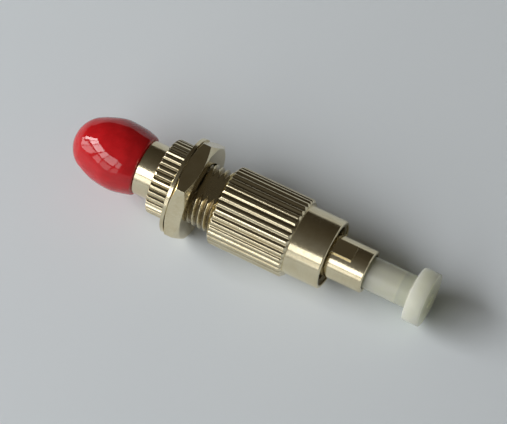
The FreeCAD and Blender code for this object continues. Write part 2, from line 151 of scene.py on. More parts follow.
class Skin:
    """Collects rings round the X axis into one closed mesh with a groove attribute, which sets the painted
    shade in grooves and thread roots.
    """

    def __init__(self):
        self.points = []
        self.depths = []
        self.faces = []
        self.rings = []
        self.total = 0

    def strip(self, profile, count):
        """Add a run of rings, each joined to the one before. Angle 0 is +Z and grows towards -Y."""
        angles = np.linspace(0, TURN, count, endpoint=False)
        for station, radius, relief in profile:
            radii, depth = np.full(count, float(radius)), np.zeros(count)
            if relief:
                radii, depth = relief(station, radius, angles)
            stations = np.full(count, float(station))
            self.add(np.stack([stations, -radii * np.sin(angles), radii * np.cos(angles)], 1), depth)

    def tip(self, station):
        """Add one point on the axis, to start or to end the skin."""
        self.add(np.array([[station, 0.0, 0.0]]), np.zeros(1))

    def add(self, points, depth):
        """Add one ring and join it to the one before."""
        ring = (self.total, len(points))
        self.points.append(points)
        self.depths.append(depth)
        self.total += len(points)
        if self.rings:
            self.join(self.rings[-1], ring)
        self.rings.append(ring)

    def close(self):
        """Join the last ring to the first."""
        self.join(self.rings[-1], self.rings[0])

    def join(self, before, after):
        """Faces between two rings, where the larger count is a whole multiple of the smaller."""
        (a, a_count), (b, b_count) = before, after
        coarse, fine = min(a_count, b_count), max(a_count, b_count)
        steps = fine // coarse
        for column in range(coarse):
            ends = column, (column + 1) % coarse
            if steps == 1:
                self.faces.append((a + ends[0], a + ends[1], b + ends[1], b + ends[0]))
                continue
            run = [(column * steps + step) % fine for step in range(steps + 1)]
            for step, (low, high) in enumerate(zip(run, run[1:])):
                end = ends[step >= steps // 2]
                if fine == b_count:
                    self.faces.append((a + end, b + high, b + low))
                else:
                    self.faces.append((a + low, a + high, b + end))
            if coarse == 1:
                continue
            middle = run[steps // 2]
            if fine == b_count:
                self.faces.append((a + ends[0], a + ends[1], b + middle))
            else:
                self.faces.append((a + middle, b + ends[1], b + ends[0]))

    def build(self, name, sharp_degrees=TURNED_SHARP, shape=None):
        """Make the mesh object, after an optional last change of its points."""
        points = np.vstack(self.points)
        if shape:
            points = shape(points)
        return make_mesh(name, points, self.faces, np.concatenate(self.depths), sharp_degrees)


def make_mesh(name, points, faces, depths=None, sharp_degrees=TURNED_SHARP):
    """A smooth-shaded mesh object from points in millimetres."""
    mesh = bpy.data.meshes.new(name)
    mesh.from_pydata((np.asarray(points) * MM).tolist(), [], faces)
    if depths is not None:
        # The groove attribute: how much painted shade darkens each point.
        groove = mesh.attributes.new("groove", "FLOAT", "POINT")
        groove.data.foreach_set("value", np.asarray(depths, np.float32))
    mesh.shade_smooth()
    mesh.set_sharp_from_angle(angle=math.radians(sharp_degrees))
    piece = bpy.data.objects.new(name, mesh)
    bpy.context.scene.collection.objects.link(piece)
    return piece


def soft_min(a, b, width):
    """The smaller of two values, rounded over where they cross."""
    gap = np.clip(0.5 + 0.5 * (b - a) / width, 0, 1)
    return b * (1 - gap) + a * gap - width * gap * (1 - gap)


def knurl_relief(outer, groove):
    """Straight rounded grooves round a grip of the given radius."""
    pitch = TURN / KNURL_COUNT
    deepest, half_width, groove_shade = groove

    def relief(station, radius, angles):
        away = np.abs((angles + pitch / 2) % pitch - pitch / 2) * outer
        depth = 0.5 + 0.5 * np.cos(math.pi * np.clip(away / half_width, 0, 1))
        # The second value is painted shade, deepest in the middle of each groove.
        return soft_min(np.full_like(angles, radius), outer - deepest * depth, KNURL_BLEND), groove_shade * depth

    return relief


def ridge_height(station, angles, pitch):
    """A right-handed V thread's height, from 0 at its root to 1 at its crest."""
    phase = (station / pitch - angles / TURN) % 1
    return np.clip((np.abs(2 * phase - 1) - THREAD_ROOT) / THREAD_FLANK, 0, 1)


def thread_relief(crest, root, pitch, flat=None):
    """An outer thread, cut off where the profile is lower, with an optional flat side towards +Z."""

    def relief(station, radius, angles):
        height = ridge_height(station, angles, pitch)
        radii = np.minimum(root + (crest - root) * height, min(radius, crest))
        # Painted shade, strongest at the thread's root.
        depth = np.sqrt(1 - height)
        if flat is not None:
            facing = np.cos(angles)
            limit = np.where(facing > FLAT_LEAST_FACING, flat / np.maximum(facing, FLAT_LEAST_FACING), np.inf)
            # The flat gets an even, lighter darkening in place of the thread's painted shade.
            depth = np.where(limit < radii, FLAT_DARKENING, depth)
            radii = np.minimum(radii, limit)
        return radii, depth

    return relief


def inner_thread_relief(major, crest, pitch):
    """Ridges that stand inwards from a nut's bore."""

    def relief(station, radius, angles):
        height = ridge_height(station, angles, pitch)
        # The second value is painted shade inside the bore, never below a set share.
        return major - (major - crest) * height, np.maximum(1 - height, INNER_PAINTED_SHADE)

    return relief


SMA_UNDERCUT = 0.5
TURNED_EDGE, BORE_EDGE = 0.09, 0.05
FLANGE_EDGE, FLANGE_FACE_DROP = 0.3, 0.35
FLANGE_BACK_STEPS = (0.0, 0.01, 0.03, 0.06, 0.1, 0.15, 0.2, 0.25, 0.3)
FLANGE_FRONT_STEPS = (-0.08, 0.0, 0.03, 0.06, 0.1, 0.15, 0.2, 0.25, 0.3, 0.35, 0.4)
PANEL_END_STEP = 0.2


def build_body():
    """The turned body, with its two threads and its knurled flange."""
    skin = Skin()
    nose_end, end = BODY_LOW[0], BODY_HIGH[0]
    sma = thread_relief(SMA_RADIUS, SMA_ROOT, SMA_PITCH)
    ramp = [(nose_end + step * SMA_NOSE_CHAMFER / CHAMFER_STEPS,
             SMA_ROOT + step * (SMA_RADIUS - SMA_ROOT) / CHAMFER_STEPS, sma)
            for step in range(CHAMFER_STEPS + 1)]
    thread_start, thread_end = nose_end + SMA_NOSE_CHAMFER + RING_STEP, COLLAR_START - SMA_UNDERCUT
    thread = stretch(thread_start, thread_end, SMA_RADIUS, SMA_PITCH / RINGS_TO_PITCH, sma)
    collar = plain(
        (thread_end + RING_STEP, SMA_ROOT), (COLLAR_START, SMA_ROOT), (COLLAR_START, COLLAR_RADIUS),
        (FLANGE_START, COLLAR_RADIUS), (FLANGE_START, FLANGE_RADIUS - FLANGE_FACE_DROP))
    skin.strip(plain((nose_end, SMA_BORE)) + ramp + thread + soften(collar, TURNED_EDGE), PLAIN_COLUMNS)
    grip = knurl_relief(FLANGE_RADIUS, FLANGE_GROOVE)
    back_edge = []
    for step in FLANGE_BACK_STEPS:
        rise = FLANGE_EDGE * math.sqrt(1 - (1 - step / FLANGE_EDGE) ** 2)
        back_edge.append((FLANGE_START + step, FLANGE_RADIUS - FLANGE_EDGE + rise, grip))
    front_edge = [(SEAT - FLANGE_RELIEF + step, FLANGE_RADIUS - max(step, 0.0), grip)
                  for step in FLANGE_FRONT_STEPS]
    skin.strip(back_edge + front_edge, KNURL_COLUMNS)
    panel = thread_relief(PANEL_RADIUS, PANEL_ROOT, PANEL_PITCH, PANEL_FLAT)
    chamfer_start = end - PANEL_CHAMFER
    turns = stretch(SEAT, chamfer_start, PANEL_RADIUS, PANEL_PITCH / PANEL_RINGS_TO_PITCH, panel)
    run_out = [(chamfer_start + step * PANEL_CHAMFER / CHAMFER_STEPS,
                PANEL_RADIUS - step * PANEL_CHAMFER / CHAMFER_STEPS, panel)
               for step in range(1, CHAMFER_STEPS + 1)]
    skin.strip(turns + run_out, PANEL_COLUMNS)
    inside = plain(
        (end, PANEL_FLAT - PANEL_END_STEP), (end, SOCKET_RADIUS), (SOCKET_FLOOR, SOCKET_RADIUS),
        (SOCKET_FLOOR, STUB_SEAT), (STUB_FACE, STUB_SEAT), (STUB_FACE, SMA_BORE), (nose_end, SMA_BORE))
    skin.strip(soften(inside, BORE_EDGE, steps=2)[:-1], PLAIN_COLUMNS)
    skin.close()
    return skin.build("body_turned")


GRIP_EDGE_STEPS = (0.0, 0.02, 0.04, 0.07, 0.1, 0.14, 0.18, 0.22, 0.26, 0.3)
GRIP_EDGE_END, GRIP_FACE_DROP = 0.38, 0.12
NECK_EDGE, NUT_BORE_EDGE = 0.07, 0.06
NUT_MOUTH, NUT_RIDGES_FROM, NUT_RIDGES_TO, NUT_UNDERCUT = 0.15, 0.25, 0.6, 0.5


def build_coupling_nut():
    """The coupling nut: knurled grip, smooth neck and inner thread."""
    skin = Skin()
    back, end = NUT_LOW[0], NUT_HIGH[0]
    grip_end = back + GRIP_LENGTH
    grip = knurl_relief(GRIP_RADIUS, GRIP_GROOVE)
    edge_radius = GRIP_RADIUS - GRIP_CHAMFER
    inner_ring = edge_radius - GRIP_FACE_DROP
    rear = [(back + step, edge_radius + step, grip) for step in GRIP_EDGE_STEPS]
    middle = [(station, GRIP_RADIUS, grip) for station in (back + GRIP_EDGE_END, grip_end - GRIP_EDGE_END)]
    front = [(grip_end - step, edge_radius + step, grip) for step in reversed(GRIP_EDGE_STEPS)]
    skin.strip(plain((back, inner_ring)) + rear + middle + front, KNURL_COLUMNS)
    neck = plain(
        (grip_end, inner_ring), (grip_end, NECK_RADIUS), (end - NECK_CHAMFER, NECK_RADIUS),
        (end, NECK_RADIUS - NECK_CHAMFER), (end, NUT_THREAD_RADIUS), (end - NUT_MOUTH, NUT_THREAD_RADIUS))
    thread = inner_thread_relief(NUT_THREAD_RADIUS, NUT_THREAD_CREST, PANEL_PITCH)
    ridges = stretch(end - NUT_RIDGES_FROM, NUT_THREAD_START + NUT_RIDGES_TO, NUT_THREAD_RADIUS,
                     PANEL_PITCH / RINGS_TO_PITCH, thread)
    inside = plain(
        (NUT_THREAD_START + NUT_UNDERCUT, NUT_THREAD_RADIUS), (NUT_THREAD_START, NUT_THREAD_RADIUS),
        (NUT_THREAD_START, NUT_BACK_BORE), (NUT_GROOVE[1], NUT_BACK_BORE), (NUT_GROOVE[1], NUT_GROOVE_RADIUS),
        (NUT_GROOVE[0], NUT_GROOVE_RADIUS), (NUT_GROOVE[0], NUT_BACK_BORE), (back, NUT_BACK_BORE),
        (back, inner_ring))
    rings = soften(neck, NECK_EDGE) + ridges + soften(inside, NUT_BORE_EDGE, steps=3)[:-1]
    skin.strip(rings, NUT_COLUMNS)
    skin.close()
    return skin.build("coupling_nut_knurled")


CAP_NOSE_RADIUS, CAP_SIDE_RADIUS = 3.8, 9.0
CAP_MOUTH_RADIUS, CAP_HOLLOW_RADIUS, CAP_HOLLOW_END = 3.9, 3.2, 1.2
CAP_END_WALL, CAP_HOLLOW_START = 0.9, 3.15
CAP_COLUMNS, CAP_NOSE_RINGS, CAP_SIDE_RINGS = 192, 26, 40
CAP_TIP_ANGLE = 0.02
CAP_LIP_EDGE, CAP_LIP_DEPTH, CAP_LIP_OUTER, CAP_LIP_INNER = 0.17, 0.5, 0.02, 0.01
CAP_HOLLOW_EDGE, CAP_HOLLOW_TIP = 0.5, 0.2
# The dipped skin's ripples: height, waves round it, slant along it and phase.
CAP_RIPPLES = ((0.030, 2, 0.9, 0.4), (0.018, 3, -1.7, 1.1), (0.010, 7, 2.3, 0.0))
RIPPLE_MARGIN, RIPPLE_CALM_TIP, RIPPLE_SKIN, OUTER_SKIN = 0.03, 1.2, 0.3, 0.05
LEAST_RADIUS = 0.1
CAP_DROOP, DROOP_Y, DROOP_Z = 0.14, 0.6, 0.8


def build_red_cap():
    """The dip-moulded cap: a bulging side, a round nose that droops a little, and a soft rolled mouth."""
    # The side's arc is tangent to the nose's arc and ends at the mouth's rim.
    tip, mouth = CAP_LOW[0], CAP_HIGH[0]
    nose_centre = np.array([tip + CAP_NOSE_RADIUS, 0.0])
    rim = np.array([mouth, CAP_MOUTH_RADIUS])
    apart = np.linalg.norm(rim - nose_centre)
    inner = CAP_SIDE_RADIUS - CAP_NOSE_RADIUS
    along = (inner ** 2 - CAP_SIDE_RADIUS ** 2 + apart ** 2) / (2 * apart)
    off = math.sqrt(inner ** 2 - along ** 2)
    unit = (rim - nose_centre) / apart
    side_centre = nose_centre + unit * along + np.array([unit[1], -unit[0]]) * off
    joint = math.atan2(nose_centre[1] - side_centre[1], nose_centre[0] - side_centre[0])
    start = math.atan2(rim[1] - side_centre[1], rim[0] - side_centre[0])
    outer = [(nose_centre[0] + CAP_NOSE_RADIUS * math.cos(a), CAP_NOSE_RADIUS * math.sin(a), None)
             for a in np.linspace(math.pi - CAP_TIP_ANGLE, joint, CAP_NOSE_RINGS)]
    outer += [(side_centre[0] + CAP_SIDE_RADIUS * math.cos(a),
               side_centre[1] + CAP_SIDE_RADIUS * math.sin(a), None)
              for a in np.linspace(joint, start, CAP_SIDE_RINGS)[1:-2]]
    lip = plain(
        (outer[-1][0], outer[-1][1]), (mouth, CAP_MOUTH_RADIUS - CAP_LIP_OUTER),
        (mouth, CAP_HOLLOW_RADIUS + CAP_LIP_INNER), (mouth - CAP_LIP_DEPTH, CAP_HOLLOW_RADIUS))
    hollow = plain(
        (mouth - CAP_LIP_DEPTH, CAP_HOLLOW_RADIUS), (tip + CAP_HOLLOW_START, CAP_HOLLOW_RADIUS),
        (tip + CAP_END_WALL, CAP_HOLLOW_END), (tip + CAP_END_WALL, CAP_HOLLOW_TIP))
    skin = Skin()
    skin.tip(tip)
    inner_rings = soften(lip, CAP_LIP_EDGE, steps=6)[1:] + soften(hollow, CAP_HOLLOW_EDGE, steps=8)[1:]
    skin.strip(outer + inner_rings, CAP_COLUMNS)
    skin.tip(tip + CAP_END_WALL)

    def unevenness(points):
        """A slight droop of the nose and the small ripples of a dipped skin."""
        x, y, z = points.T
        angle = np.arctan2(-y, z)
        radius = np.hypot(y, z)
        towards_tip = np.clip((mouth - x) / (mouth - tip), 0, 1)
        free = np.clip((x - tip) / RIPPLE_CALM_TIP, 0, 1)
        free = free * np.clip(radius - CAP_HOLLOW_RADIUS, 0, RIPPLE_SKIN) / RIPPLE_SKIN
        ripple = sum(height * np.sin(waves * angle + slant * x + phase)
                     for height, waves, slant, phase in CAP_RIPPLES)
        swell = free * (ripple - RIPPLE_MARGIN) / np.maximum(radius, LEAST_RADIUS)
        scale = 1 + np.where(radius > CAP_HOLLOW_RADIUS + OUTER_SKIN, swell, 0)
        droop = CAP_DROOP * towards_tip ** 3
        return np.stack([x, y * scale - DROOP_Y * droop, z * scale - DROOP_Z * droop], 1)

    return skin.build("red_cap_moulded", MOULDED_SHARP, unevenness)


WHITE_STEM_RADIUS, WHITE_BORE, WHITE_HEAD_BACK, WHITE_BORE_END = 2.1, 1.27, 31.2, 30.4
WHITE_EDGE, WHITE_BORE_EDGE = 0.24, 0.15
WHITE_LEAD_LENGTH, WHITE_LEAD_DROP, WHITE_FILLET = 0.3, 0.2, 0.25
# The sunk gate mark in the head's end, and the stub left in its middle.
GATE_RIM, GATE_FLOOR, GATE_DEPTH = 0.95, 0.85, 0.22
STUB_FOOT, STUB_TOP, STUB_DEPTH = 0.32, 0.28, 0.1


def build_white_cap():
    """The moulded cap over the ferrule: stem, head with rounded edges and a sunk gate mark."""
    back, end = WHITE_LOW[0], WHITE_HIGH[0]
    head = WHITE_HIGH[2]
    inside = plain((WHITE_BORE_END, AXIS_RING), (WHITE_BORE_END, WHITE_BORE), (back, WHITE_BORE))
    outside = plain(
        (back, WHITE_BORE), (back, WHITE_STEM_RADIUS - WHITE_LEAD_DROP),
        (back + WHITE_LEAD_LENGTH, WHITE_STEM_RADIUS), (WHITE_HEAD_BACK - WHITE_FILLET, WHITE_STEM_RADIUS),
        (WHITE_HEAD_BACK, WHITE_STEM_RADIUS + WHITE_FILLET), (WHITE_HEAD_BACK, head), (end, head),
        (end, GATE_RIM), (end - GATE_DEPTH, GATE_FLOOR), (end - GATE_DEPTH, STUB_FOOT),
        (end - STUB_DEPTH, STUB_TOP), (end - STUB_DEPTH, AXIS_RING))
    skin = Skin()
    skin.tip(WHITE_BORE_END)
    rings = soften(inside, WHITE_BORE_EDGE, steps=3) + soften(outside, WHITE_EDGE, steps=6)[1:]
    skin.strip(rings, PLAIN_COLUMNS)
    skin.tip(end - STUB_DEPTH)
    return skin.build("white_cap_moulded", MOULDED_SHARP)


COIL_TURNS, COIL_WIRE, COIL_RADIUS = 6, 0.175, 1.975
COIL_SIDES, COIL_STEPS = 12, 48
COIL_END_CLOSING = 0.55


def build_spring():
    """The ferrule's coil spring, with its end turns laid closer."""
    low, high = SPRING_LOW[0] + COIL_WIRE, SPRING_HIGH[0] - COIL_WIRE
    count = COIL_TURNS * COIL_STEPS
    share = np.linspace(0, 1, count + 1)
    eased = share - COIL_END_CLOSING * np.sin(TURN * share) / TURN
    stations = low + (high - low) * eased
    axis = np.array([1.0, 0, 0])
    points, faces = [], []
    for station, part in zip(stations, share):
        angle = TURN * COIL_TURNS * part
        out = np.array([0, -math.sin(angle), math.cos(angle)])
        centre = np.array([station, 0, 0]) + COIL_RADIUS * out
        for side in range(COIL_SIDES):
            turn = TURN * side / COIL_SIDES
            points.append(centre + COIL_WIRE * (math.cos(turn) * out + math.sin(turn) * axis))
    for row in range(count):
        a, b = row * COIL_SIDES, (row + 1) * COIL_SIDES
        for side in range(COIL_SIDES):
            after = (side + 1) % COIL_SIDES
            faces.append((a + side, b + side, b + after, a + after))
    faces.append(tuple(range(COIL_SIDES)))
    faces.append(tuple(reversed(range(count * COIL_SIDES, (count + 1) * COIL_SIDES))))
    return make_mesh("ferrule_spring_coil", points, faces, np.zeros(len(points)), COIL_SHARP)


FIBRE_RADIUS, FIBRE_POLISH, FIBRE_END_RING = 0.22, 0.03, 0.12
FIBRE_COLUMNS, FIBRE_RINGS, FIBRE_END_RUN = 32, 60, 0.3


def build_fibre():
    """The short fibre, polished at both ends, in enough rings to follow the ferrule."""
    skin = Skin()
    low, high = FIBRE_LOW[0], FIBRE_HIGH[0]
    near = plain(
        (low, FIBRE_END_RING), (low, FIBRE_RADIUS - FIBRE_POLISH), (low + FIBRE_POLISH, FIBRE_RADIUS))
    stations = np.linspace(low + FIBRE_END_RUN, high - FIBRE_END_RUN, FIBRE_RINGS)
    run = [(station, FIBRE_RADIUS, None) for station in stations]
    far = [(low + high - station, radius, None) for station, radius, _ in reversed(near)]
    skin.tip(low)
    skin.strip(near + run + far, FIBRE_COLUMNS)
    skin.tip(high)
    return skin.build("fibre_polished", MOULDED_SHARP)


NOISE_ROUGHNESS = 0.55
BEVEL_SAMPLES = 6
# A Mix node's sockets for colours.
MIX_FIRST, MIX_SECOND, MIX_RESULT = 6, 7, 2


class Graph:
    """A material's node tree, with short ways to add and link nodes."""

    def __init__(self, name):
        self.material = bpy.data.materials.new(name)
        self.material.use_nodes = True
        self.tree = self.material.node_tree
        self.tree.nodes.clear()
        self.output = self.tree.nodes.new("ShaderNodeOutputMaterial")
        self.shader = self.tree.nodes.new("ShaderNodeBsdfPrincipled")
        self.tree.links.new(self.shader.outputs[0], self.output.inputs["Surface"])
        place = self.tree.nodes.new("ShaderNodeTexCoord")
        scaled = self.node("ShaderNodeVectorMath", {"operation": "SCALE"}, Vector=place.outputs["Object"],
                           Scale=1 / MM)
        self.place = scaled.outputs["Vector"]

    def node(self, kind, props=None, **inputs):
        """Add a node. An input's name is written with _ for a space."""
        made = self.tree.nodes.new(kind)
        for key, value in (props or {}).items():
            setattr(made, key, value)
        for key, value in inputs.items():
            self.put(made.inputs[key.replace("_", " ")], value)
        return made

    def put(self, socket, value):
        """Link a socket to another, or set its number or colour."""
        if isinstance(value, bpy.types.NodeSocket):
            self.tree.links.new(value, socket)
        else:
            socket.default_value = value

    def set(self, **inputs):
        """Link or set inputs of the main shader."""
        for key, value in inputs.items():
            self.put(self.shader.inputs[key.replace("_", " ")], value)

    def math(self, operation, a, b):
        """The result of a Math node."""
        made = self.tree.nodes.new("ShaderNodeMath")
        made.operation = operation
        self.put(made.inputs[0], a)
        self.put(made.inputs[1], b)
        return made.outputs[0]

    def noise(self, scale, detail):
        """Cloudy noise, with its scale per millimetre."""
        made = self.node("ShaderNodeTexNoise", Vector=self.place, Scale=scale, Detail=detail,
                         Roughness=NOISE_ROUGHNESS)
        return made.outputs["Fac"]

    def line_noise(self, w, scale, detail=4.0):
        """Noise along one value, for turning marks."""
        made = self.node("ShaderNodeTexNoise", {"noise_dimensions": "1D"}, Scale=scale, Detail=detail)
        self.put(made.inputs["W"], w)
        return made.outputs["Fac"]

    def remap(self, value, low, high, out_low, out_high):
        """A value carried from one range to another, and clamped there."""
        made = self.node("ShaderNodeMapRange", {"clamp": True})
        for socket, number in zip(made.inputs, (value, low, high, out_low, out_high)):
            self.put(socket, number)
        return made.outputs[0]

    def mix(self, factor, a, b):
        """A colour between two others, each a socket or three numbers."""
        made = self.tree.nodes.new("ShaderNodeMix")
        made.data_type = "RGBA"
        self.put(made.inputs[0], factor)
        for index, value in ((MIX_FIRST, a), (MIX_SECOND, b)):
            linked = isinstance(value, bpy.types.NodeSocket)
            self.put(made.inputs[index], value if linked else (*value, 1.0))
        return made.outputs[MIX_RESULT]

    def attribute(self, name):
        """The value of a mesh attribute."""
        return self.node("ShaderNodeAttribute", {"attribute_name": name}).outputs["Fac"]

    def bump(self, height, strength, distance, normal=None):
        """A bumped normal, with the distance in millimetres."""
        made = self.node("ShaderNodeBump", Strength=strength, Distance=distance * MM, Height=height)
        if normal:
            self.put(made.inputs["Normal"], normal)
        return made.outputs["Normal"]

    def bevel(self, radius):
        """A normal that rounds the edges, with the radius in millimetres."""
        made = self.node("ShaderNodeBevel", {"samples": BEVEL_SAMPLES}, Radius=radius * MM)
        return made.outputs["Normal"]

    def turned(self):
        """Station along the axis and radius from it, in millimetres."""
        split = self.node("ShaderNodeSeparateXYZ", Vector=self.place)
        flat = self.node("ShaderNodeCombineXYZ", Y=split.outputs["Y"], Z=split.outputs["Z"])
        radius = self.node("ShaderNodeVectorMath", {"operation": "LENGTH"}, Vector=flat.outputs[0])
        return split.outputs["X"], radius.outputs["Value"]


MARK_SCALE, FINE_MARK_SCALE = 7.0, 28.0
MARK_SHADE, MARK_DEPTH = 0.72, 0.012
MARK_SHARE, FINE_MARK_SHARE = 0.7, 0.3
# Painted shade in grooves and thread roots: its colour factors on the tarnish, and the roughness it adds.
GROOVE_PAINTED_SHADE, GROOVE_ROUGHNESS = (0.22, 0.19, 0.15), 0.16
ROLLED_FROM, ROLLED_POLISH, LEAST_ROUGHNESS = (4.5, 4.6), 0.14, 0.06


def metal(name, colour, tarnish, rough, marks=0.25, grooves=False, bevel=None, turned=True):
    """Plated or plain metal with turning marks and faint tarnish.

    With grooves, painted shade darkens the mesh's grooves and thread roots, and the rolled knurls, further
    out, are smoother.
    """
    g = Graph(name)
    blotch = g.noise(0.55, 5.0)
    smudge = g.noise(2.3, 4.0)
    station, radius = g.turned()
    w = g.math("ADD", station, radius)
    lines = g.line_noise(w, MARK_SCALE) if turned else g.noise(6.0, 6.0)
    fine = g.line_noise(w, FINE_MARK_SCALE, 2.0) if turned else g.noise(24.0, 3.0)
    tint = g.mix(g.remap(blotch, 0.42, 0.72, 0.0, 0.75), colour, tarnish)
    tint = g.mix(g.remap(lines, 0.3, 0.75, 0.0, 0.22), tint, [c * MARK_SHADE for c in colour])
    roughness = g.math("ADD", g.remap(smudge, 0.3, 0.8, *rough), g.remap(fine, 0.3, 0.8, 0.0, 0.05))
    if grooves:
        # Painted shade: the groove attribute, varied by the smudge noise, darkens the colour in grooves and
        # thread roots and roughens it there.
        groove_shade = g.math("MULTIPLY", g.attribute("groove"), g.remap(smudge, 0.25, 0.7, 0.66, 0.88))
        tint = g.mix(groove_shade, tint, [c * shade for c, shade in zip(tarnish, GROOVE_PAINTED_SHADE)])
        rolled = g.remap(radius, *ROLLED_FROM, 0.0, ROLLED_POLISH)
        roughness = g.math("ADD", roughness, g.math("MULTIPLY", groove_shade, GROOVE_ROUGHNESS))
        roughness = g.math("MAXIMUM", g.math("SUBTRACT", roughness, rolled), LEAST_ROUGHNESS)
    height = g.math("ADD", g.math("MULTIPLY", lines, MARK_SHARE), g.math("MULTIPLY", fine, FINE_MARK_SHARE))
    normal = g.bump(height, marks, MARK_DEPTH, g.bevel(bevel) if bevel else None)
    g.set(Base_Color=tint, Metallic=1.0, Roughness=roughness, Normal=normal)
    return g.material


RED, RED_DEEP, RED_DUST = (0.56, 0.010, 0.014), (0.46, 0.007, 0.010), (0.62, 0.10, 0.10)


def red_vinyl():
    """Glossy dip-moulded vinyl with faint waves, dust and a little depth."""
    g = Graph("red_vinyl")
    cloud = g.noise(0.7, 4.0)
    speck = g.noise(16.0, 2.0)
    tint = g.mix(g.remap(cloud, 0.35, 0.7, 0.0, 1.0), RED, RED_DEEP)
    tint = g.mix(g.remap(speck, 0.70, 0.78, 0.0, 0.30), tint, RED_DUST)
    wave = g.math("ADD", g.noise(1.1, 2.0), g.math("MULTIPLY", g.noise(5.0, 3.0), 0.12))
    g.set(Base_Color=tint, Roughness=g.remap(cloud, 0.3, 0.7, 0.03, 0.06), Normal=g.bump(wave, 0.07, 0.10))
    g.set(Subsurface_Weight=0.12, Subsurface_Radius=(0.0012, 0.0002, 0.0002), Subsurface_Scale=1.0,
          Specular_IOR_Level=0.55)
    return g.material


HEAD_WHITE, HEAD_CLOUD = (0.90, 0.915, 0.66), (0.86, 0.875, 0.62)
STEM_EMPTY, STEM_FILLED = (0.60, 0.615, 0.49), (0.76, 0.765, 0.56)
HEAD_BLEND, FERRULE_BLEND = 0.3, 0.12
STEM_SCATTER, HEAD_SCATTER = 1.0, 1.8


def white_polyethylene():
    """Milky translucent plastic, creamier where the ferrule fills it, with soft clouding and a fine grain."""
    g = Graph("white_polyethylene")
    cloud = g.noise(0.8, 4.0)
    grain = g.noise(14.0, 3.0)
    station = g.node("ShaderNodeSeparateXYZ", Vector=g.place).outputs["X"]
    head = g.mix(g.remap(cloud, 0.35, 0.7, 0.0, 1.0), HEAD_WHITE, HEAD_CLOUD)
    to_head = (WHITE_HEAD_BACK - HEAD_BLEND, WHITE_HEAD_BACK)
    past_ferrule = (FERRULE_END - FERRULE_BLEND, FERRULE_END + FERRULE_BLEND)
    scatter = g.remap(station, *to_head, STEM_SCATTER, HEAD_SCATTER)
    empty = g.mix(g.remap(station, *to_head, 0.0, 1.0), STEM_EMPTY, head)
    tint = g.mix(g.remap(station, *past_ferrule, 0.0, 1.0), STEM_FILLED, empty)
    g.set(Base_Color=tint, Roughness=g.remap(grain, 0.3, 0.7, 0.16, 0.24), Normal=g.bump(grain, 0.12, 0.02))
    g.set(Transmission_Weight=0.22, IOR=1.45, Subsurface_Weight=1.0,
          Subsurface_Radius=(0.0040, 0.0040, 0.0033), Subsurface_Scale=scatter, Specular_IOR_Level=0.4)
    return g.material


CERAMIC, CERAMIC_CLOUD = (0.90, 0.88, 0.82), (0.84, 0.82, 0.75)


def zirconia():
    """Ground white ceramic."""
    g = Graph("zirconia")
    cloud = g.noise(1.2, 3.0)
    lines = g.line_noise(g.math("ADD", *g.turned()), 9.0)
    tint = g.mix(g.remap(cloud, 0.3, 0.7, 0.0, 1.0), CERAMIC, CERAMIC_CLOUD)
    g.set(Base_Color=tint, Roughness=g.remap(lines, 0.3, 0.7, 0.14, 0.26), Normal=g.bump(lines, 0.1, 0.006))
    g.set(Subsurface_Weight=0.15, Subsurface_Radius=(0.0006, 0.0005, 0.0004), Subsurface_Scale=1.0)
    return g.material


CORE_EDGE, CORE, CLADDING = (0.14, 0.16), (0.93, 0.96, 0.98), (0.78, 0.82, 0.84)


def fibre_glass():
    """Fibre: clear core, slightly milky cladding seen on the polished ends."""
    g = Graph("fibre_glass")
    tint = g.mix(g.remap(g.turned()[1], *CORE_EDGE, 0.0, 1.0), CORE, CLADDING)
    g.set(Base_Color=tint, Roughness=g.remap(g.noise(8.0, 2.0), 0.3, 0.7, 0.04, 0.12))
    g.set(Transmission_Weight=0.7, IOR=1.46)
    return g.material


PAPER, PAPER_CLOUD = (0.755, 0.803, 0.838), (0.742, 0.792, 0.829)
FADE, BACKDROP = (70.0, 240.0), (0.47, 0.485, 0.495)


def paper():
    """Cool, pale paper with a faint tooth, which fades far off to the backdrop's plain grey."""
    g = Graph("pale_paper")
    fibre = g.noise(2.4, 6.0)
    cloud = g.noise(0.02, 2.0)
    tint = g.mix(g.remap(cloud, 0.3, 0.7, 0.0, 1.0), PAPER, PAPER_CLOUD)
    g.set(Base_Color=tint, Roughness=0.75, Specular_IOR_Level=0.25, Normal=g.bump(fibre, 0.10, 0.05))
    away = g.node("ShaderNodeVectorMath", {"operation": "LENGTH"}, Vector=g.place).outputs["Value"]
    ray = g.node("ShaderNodeLightPath")
    seen = ray.outputs["Is Camera Ray"]
    for kind in ("Is Glossy Ray", "Is Transmission Ray"):
        seen = g.math("MAXIMUM", seen, ray.outputs[kind])
    faded = g.math("MULTIPLY", seen, g.remap(away, *FADE, 0.0, 1.0))
    haze = g.node("ShaderNodeEmission", Color=(*BACKDROP, 1.0))
    blend = g.node("ShaderNodeMixShader", Fac=faded)
    for socket, shader in zip(list(blend.inputs)[1:], (g.shader, haze)):
        g.put(socket, shader.outputs[0])
    g.put(g.output.inputs["Surface"], blend.outputs[0])
    return g.material


NICKEL = (0.80, 0.715, 0.50)
NICKEL_TARNISH = (0.70, 0.595, 0.375)
STEEL = (0.62, 0.61, 0.59)
STEEL_TARNISH = (0.52, 0.50, 0.46)
STAINLESS = (0.68, 0.68, 0.67)
nickel_knurled = metal("nickel_knurled", NICKEL, NICKEL_TARNISH, (0.11, 0.20), grooves=True)
nickel_turned = metal("nickel_turned", NICKEL, NICKEL_TARNISH, (0.10, 0.18), bevel=0.05)
nickel_hex = metal("nickel_hex", NICKEL, NICKEL_TARNISH, (0.11, 0.19), marks=0.3, bevel=0.09, turned=False)
spring_steel = metal("spring_steel", STEEL, STEEL_TARNISH, (0.22, 0.34), bevel=0.03)
stainless = metal("stainless_turned", STAINLESS, STEEL, (0.20, 0.30), bevel=0.04)
ceramic = zirconia()

